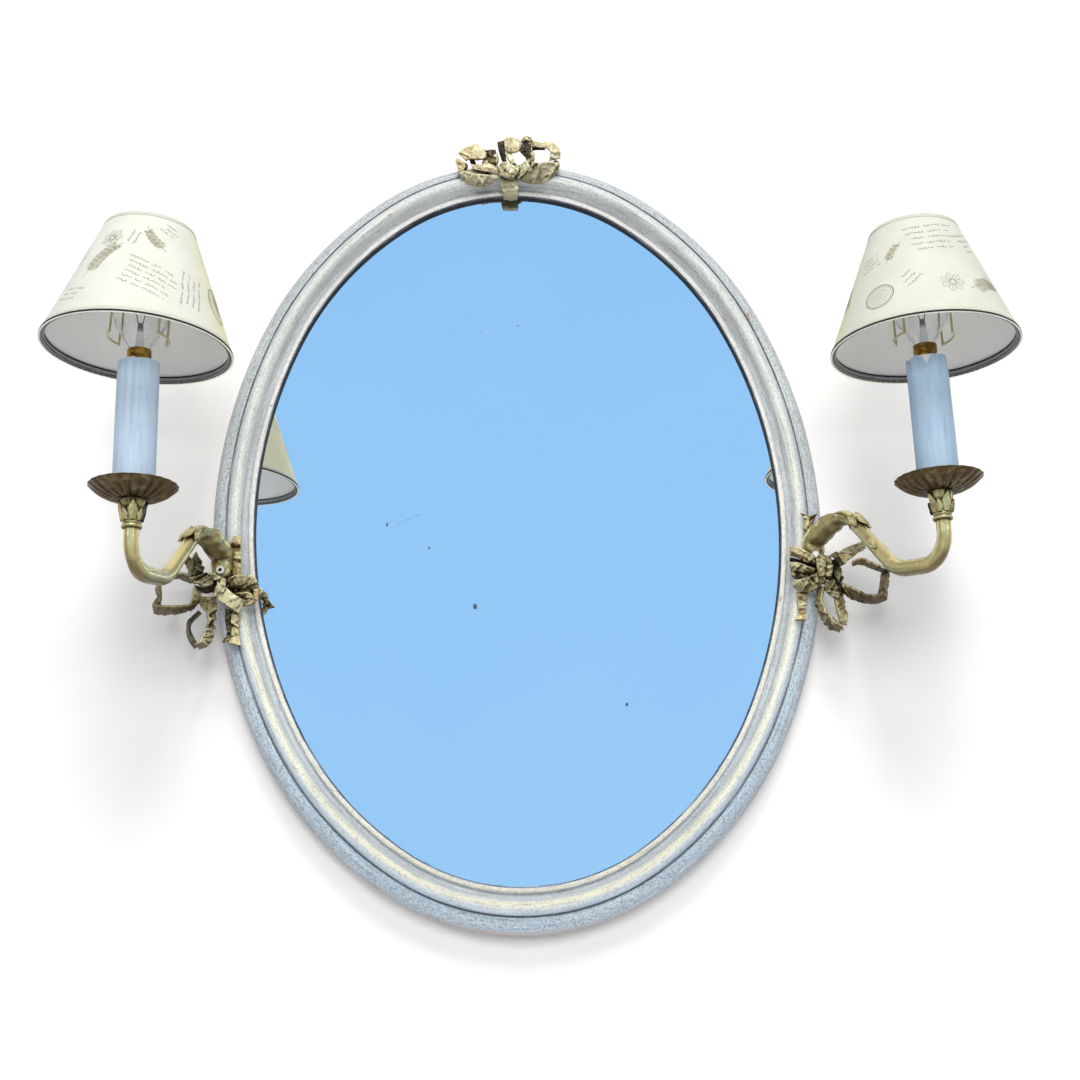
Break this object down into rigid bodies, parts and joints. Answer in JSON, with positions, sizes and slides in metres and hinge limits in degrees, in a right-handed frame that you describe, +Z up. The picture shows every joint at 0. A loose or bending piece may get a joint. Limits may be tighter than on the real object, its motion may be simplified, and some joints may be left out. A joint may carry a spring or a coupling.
{
  "type": "girandole mirror",
  "caption": "Oval wall mirror in a moulded painted frame with a ribbon crest and two curved candle arms carrying electric candles with clip-on cone shades.",
  "frame": {"origin": "centre of the oval, on the wall plane that the back bumpers rest on", "axes": "+X to the right seen from the front, +Y into the wall, +Z up; the glass looks towards -Y"},
  "size_m": [0.623, 0.2253, 0.5843],
  "materials": {
    "painted_wood": "limed grey-white paint over carved wood, satin",
    "mirror": "silvered glass",
    "board": "brown hardboard",
    "steel": "zinc plated",
    "felt": "felt",
    "black_plastic": "matt",
    "white_plastic": "gloss",
    "pvc": "satin",
    "aged_brass": "aged, rubbed, dark in the hollows",
    "dark_bronze": "dark patinated",
    "bright_brass": "polished",
    "candle_card": "speckled pale paint",
    "bulb_glass": "clear",
    "shade_paper": "printed card, matt",
    "lining_paper": "white styrene, matt",
    "trim_paper": "bound edge, matt"
  },
  "bodies": {
    "frame_and_arms": {"oval_frame": "painted_wood", "mirror_glass": "mirror", "backboard": "board", "backboard_brads": "steel", "wall_bumpers": "felt", "left_hanger_plate": "steel", "right_hanger_plate": "steel", "hanger_screws": "steel", "junction_box": "black_plastic", "junction_box_cover": "black_plastic", "cable_grommet": "pvc", "terminal_block": "white_plastic", "box_screws": "steel", "lead_staples": "white_plastic", "crest_bow": "aged_brass", "crest_pins": "bright_brass", "left_bow": "aged_brass", "left_arm": "aged_brass", "left_arm_nut": "bright_brass", "left_arm_screw": "white_plastic", "left_socket_cup": "aged_brass", "left_nipple": "bright_brass", "left_drip_pan": "dark_bronze", "left_lampholder": "bright_brass", "left_candle_sleeve": "candle_card", "left_lead": "pvc", "right_bow": "aged_brass", "right_arm": "aged_brass", "right_arm_nut": "bright_brass", "right_arm_screw": "white_plastic", "right_socket_cup": "aged_brass", "right_nipple": "bright_brass", "right_drip_pan": "dark_bronze", "right_lampholder": "bright_brass", "right_candle_sleeve": "candle_card", "right_lead": "pvc"},
    "left_bulb": {"left_bulb_cap": "bright_brass", "left_bulb_glass": "bulb_glass", "left_bulb_filament": "bulb_glass"},
    "left_clip": {"left_bulb_clip": "steel"},
    "left_gimbal": {"left_shade_gimbal": "steel"},
    "left_shade_group": {"left_shade": "shade_paper", "left_shade_lining": "lining_paper", "left_shade_top_ring": "steel", "left_shade_bottom_ring": "steel", "left_shade_trim": "trim_paper"},
    "left_hanger": {"left_hanger_ring": "steel"},
    "right_bulb": {"right_bulb_cap": "bright_brass", "right_bulb_glass": "bulb_glass", "right_bulb_filament": "bulb_glass"},
    "right_clip": {"right_bulb_clip": "steel"},
    "right_gimbal": {"right_shade_gimbal": "steel"},
    "right_shade_group": {"right_shade": "shade_paper", "right_shade_lining": "lining_paper", "right_shade_top_ring": "steel", "right_shade_bottom_ring": "steel", "right_shade_trim": "trim_paper"},
    "right_hanger": {"right_hanger_ring": "steel"}
  },
  "joints": [
    {"name": "left_bulb_turn", "type": "hinge", "parent": "frame_and_arms", "child": "left_bulb", "pos_m": [-0.23674, -0.16495, 0.062], "axis": [0, 0, 1], "continuous": true},
    {"name": "left_shade_lift", "type": "slide", "parent": "left_bulb", "child": "left_clip", "axis": [0.0645, 0, 0.9979], "range_m": [0, 0.08]},
    {"name": "left_shade_turn", "type": "hinge", "parent": "left_clip", "child": "left_gimbal", "pos_m": [-0.23319, -0.16495, 0.15649], "axis": [0.0645, 0, 0.9979], "continuous": true},
    {"name": "left_shade_tilt", "type": "hinge", "parent": "left_gimbal", "child": "left_shade_group", "pos_m": [-0.23319, -0.16495, 0.15649], "axis": [0.9979, 0, -0.0645], "range_deg": [-12, 12]},
    {"name": "left_hanger_swing", "type": "hinge", "parent": "frame_and_arms", "child": "left_hanger", "pos_m": [-0.045, -0.0027, 0.2655], "axis": [-1, 0, 0], "range_deg": [0, 150]},
    {"name": "right_bulb_turn", "type": "hinge", "parent": "frame_and_arms", "child": "right_bulb", "pos_m": [0.26412, -0.15509, 0.057], "axis": [0, 0, 1], "continuous": true},
    {"name": "right_shade_lift", "type": "slide", "parent": "right_bulb", "child": "right_clip", "axis": [0, 0, 1], "range_m": [0, 0.08]},
    {"name": "right_shade_turn", "type": "hinge", "parent": "right_clip", "child": "right_gimbal", "pos_m": [0.26412, -0.15509, 0.1486], "axis": [0, 0, 1], "continuous": true},
    {"name": "right_shade_tilt", "type": "hinge", "parent": "right_gimbal", "child": "right_shade_group", "pos_m": [0.26412, -0.15509, 0.1486], "axis": [1, 0, 0], "range_deg": [-12, 12]},
    {"name": "right_hanger_swing", "type": "hinge", "parent": "frame_and_arms", "child": "right_hanger", "pos_m": [0.045, -0.0027, 0.2655], "axis": [-1, 0, 0], "range_deg": [0, 150]}
  ]
}
